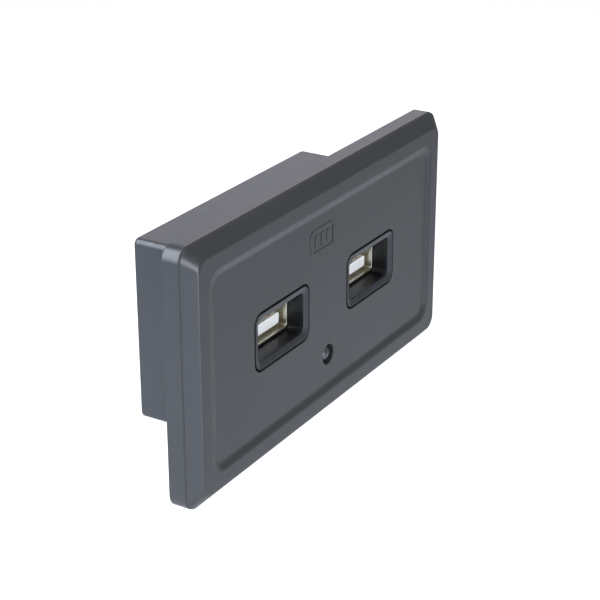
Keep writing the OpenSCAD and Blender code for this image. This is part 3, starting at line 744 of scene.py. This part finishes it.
# Indicator lamp
def build_lamp():
    bm = bmesh.new()
    r = LAMP_D / 2
    flange_r = r + LAMP_LIP
    y0 = LAMP_LO.y
    y1 = LAMP_HI.y
    flange_y = y1 - LAMP_FLANGE_T
    soft = 0.1
    tip_r = 0.004
    dome = [(max(tip_r, r * math.sin(t)), y0 + r - r * math.cos(t))
            for t in (math.pi / 2 * i / DOME_STEPS for i in range(DOME_STEPS + 1))]
    body = [(r, flange_y - soft), (r + soft, flange_y), (flange_r - soft, flange_y),
            (flange_r, flange_y + soft), (flange_r, y1), (tip_r, y1)]
    tube(bm, dome + body, 0.0, LAMP_Z)
    place(finish_mesh(bm, "lamp", "lamp_resin"), "lamp_resin", "indicator_lamp")


# Nodes that keep their CAD shape get their own material and, if listed here, a rounded edge in millimetres
EDGE_WIDTH = {
    "left_port_shell": 0.06, "right_port_shell": 0.06, "left_port_insulator": 0.32,
    "right_port_insulator": 0.32, "left_port_contacts": 0.04, "right_port_contacts": 0.04,
    "inlet_connector": 0.15, "inlet_pins": 0.1, "board_link_pins": 0.08, "housing_screws": 0.12,
    "converter_chip": 0.06, "charge_chips": 0.04, "ceramic_capacitors": 0.08, "rectifier_diode": 0.1,
    "input_fuse": 0.08, "choke": 0.15,
}
EDGE_ANGLE = 40.0
EDGE_SEGMENTS = 3
WELD_DISTANCE = 1e-6


def dress_nodes():
    slots = {part["node"]: part["material_slot"] for part in frame["record"]["subparts"]}
    for name, obj in frame["nodes"].items():
        material = MATERIALS[slots[name]]
        for material_slot in obj.material_slots:
            material_slot.material = material
        if not obj.material_slots:
            obj.data.materials.append(material)
        if name in EDGE_WIDTH:
            weld = obj.modifiers.new("weld", "WELD")
            weld.merge_threshold = WELD_DISTANCE
            edge = obj.modifiers.new("edge", "BEVEL")
            edge.width = EDGE_WIDTH[name] * MM
            edge.segments = EDGE_SEGMENTS
            edge.limit_method = "ANGLE"
            edge.angle_limit = math.radians(EDGE_ANGLE)
            even = obj.modifiers.new("even_shading", "WEIGHTED_NORMAL")
            even.keep_sharp = False


# Studio
def softbox(name, direction, distance, size, radiance, colour=(1, 1, 1), roll=0.0):
    """Rectangular light that faces the object from a direction, with its radiance given."""
    light = bpy.data.lights.new(name, "AREA")
    light.shape = "RECTANGLE"
    light.size, light.size_y = size
    light.energy = radiance * math.pi * size[0] * size[1]
    light.color = colour
    obj = bpy.data.objects.new(name, light)
    away = Vector(direction).normalized()
    obj.location = away * distance
    obj.rotation_mode = "QUATERNION"
    turn = Quaternion((0, 0, 1), math.radians(roll))
    obj.rotation_quaternion = (-away).to_track_quat("-Z", "Y") @ turn
    bpy.context.scene.collection.objects.link(obj)


def ray_switch(nodes, links):
    """1 for camera and glass rays, 0 for mirror rays and for the light that reaches a surface."""
    path = nodes.new("ShaderNodeLightPath")
    seen = nodes.new("ShaderNodeMath")
    seen.operation = "MAXIMUM"
    links.new(path.outputs["Is Camera Ray"], seen.inputs[0])
    links.new(path.outputs["Is Transmission Ray"], seen.inputs[1])
    return seen.outputs[0]


def build_world(level):
    """World that lights the object at a level and that the camera sees as white."""
    world = bpy.data.worlds.new("studio")
    bpy.context.scene.world = world
    world.use_nodes = True
    nodes, links = world.node_tree.nodes, world.node_tree.links
    background = nodes["Background"]
    mix = nodes.new("ShaderNodeMix")
    mix.data_type = "RGBA"
    mix.inputs["A"].default_value = (*level, 1)
    mix.inputs["B"].default_value = (1, 1, 1, 1)
    links.new(ray_switch(nodes, links), mix.inputs["Factor"])
    links.new(mix.outputs["Result"], background.inputs["Color"])


def build_floor(z):
    """Pale floor far below the object, lifted towards white for the camera by a glow."""
    bm = bmesh.new()
    bmesh.ops.create_grid(bm, x_segments=1, y_segments=1, size=FLOOR_REACH)
    mesh = bpy.data.meshes.new("floor")
    bm.to_mesh(mesh)
    bm.free()
    floor = bpy.data.objects.new("floor", mesh)
    floor.location.z = z
    bpy.context.scene.collection.objects.link(floor)
    material, nodes, links, shader = new_material("floor")
    shader.inputs["Base Color"].default_value = (0.92, 0.92, 0.92, 1)
    shader.inputs["Roughness"].default_value = 0.9
    glow = nodes.new("ShaderNodeEmission")
    glow.inputs["Color"].default_value = (1, 1, 1, 1)
    strength = nodes.new("ShaderNodeMath")
    strength.operation = "MULTIPLY"
    strength.inputs[1].default_value = FLOOR_GLOW
    links.new(ray_switch(nodes, links), strength.inputs[0])
    links.new(strength.outputs[0], glow.inputs["Strength"])
    both = nodes.new("ShaderNodeAddShader")
    links.new(shader.outputs[0], both.inputs[0])
    links.new(glow.outputs[0], both.inputs[1])
    links.new(both.outputs[0], nodes["Material Output"].inputs["Surface"])
    mesh.materials.append(material)


def build_camera():
    azimuth, elevation = math.radians(CAMERA_AZIMUTH), math.radians(CAMERA_ELEVATION)
    back = Vector((math.sin(azimuth) * math.cos(elevation), -math.cos(azimuth) * math.cos(elevation),
                   math.sin(elevation)))
    data = bpy.data.cameras.new("camera")
    data.sensor_width = 36.0
    data.lens = CAMERA_LENS
    data.clip_start = 0.01
    data.clip_end = 20.0
    camera = bpy.data.objects.new("camera", data)
    camera.rotation_mode = "QUATERNION"
    camera.location = (CAMERA_AIM + back * CAMERA_DISTANCE) * MM
    roll = Quaternion((0, 0, 1), math.radians(CAMERA_ROLL))
    camera.rotation_quaternion = (-back).to_track_quat("-Z", "Y") @ roll
    bpy.context.scene.collection.objects.link(camera)
    bpy.context.scene.camera = camera


def build_studio():
    bpy.context.scene.view_settings.view_transform = "Standard"
    build_world(WORLD_LEVEL)
    build_floor(CAD_BOX[0].z - FLOOR_DROP)
    softbox("arc", (-0.66, 0.50, 0.56), 0.8, (0.22, 1.25), 12.0, (0.82, 0.89, 1.0), roll=32)
    softbox("front", (-0.28, -0.93, 0.14), 0.9, (0.17, 0.95), 13.0, (0.86, 0.93, 1.0), roll=20)
    softbox("over", (0.0, -0.1, 1.0), 0.9, (0.6, 0.6), 3.2, (0.96, 0.96, 1.0))
    softbox("back", (0.72, 0.56, 0.40), 1.2, (1.2, 0.9), 0.88, (0.9, 0.9, 0.98))
    softbox("left", (-0.97, 0.2, -0.1), 0.8, (1.2, 0.9), 0.5, (0.4, 0.66, 1.0))
    softbox("low", (-0.41, -0.81, -0.40), 0.5, (0.25, 0.25), 1.2, (0.6, 0.72, 1.0))
    softbox("fill", (0.82, -0.43, -0.375), 0.3, (0.12, 0.1), 0.05)


dress_nodes()
build_fascia()
build_pictogram()
for port_side in (-1, 1):
    build_liner(port_side)
build_housing()
build_lamp()
build_studio()
build_camera()
